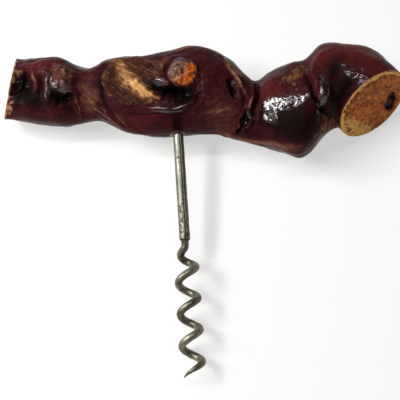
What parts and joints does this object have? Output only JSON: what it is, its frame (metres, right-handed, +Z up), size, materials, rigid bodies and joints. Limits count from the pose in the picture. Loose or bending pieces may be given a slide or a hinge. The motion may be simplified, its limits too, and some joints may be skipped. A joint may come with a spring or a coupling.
{
  "type": "corkscrew",
  "caption": "Direct-pull corkscrew: a gnarled, lacquered vine-wood cross handle with sawn ends, and a sleeved steel shank that ends in an open right-hand wire worm.",
  "frame": {"origin": "middle of the underside of the bounding box, on the table that the corkscrew lies on", "axes": "+X along the handle, -Y the way the worm points, +Z up from the table"},
  "size_m": [0.1595, 0.1302, 0.0329],
  "materials": {
    "vine_wood": "gloss",
    "worm_steel": "satin",
    "sleeve_steel": "satin",
    "glue": "gloss"
  },
  "bodies": {
    "root": {"vine_handle": "vine_wood", "worm": "worm_steel", "shank_sleeve": "sleeve_steel", "set_glue": "glue"}
  },
  "joints": []
}
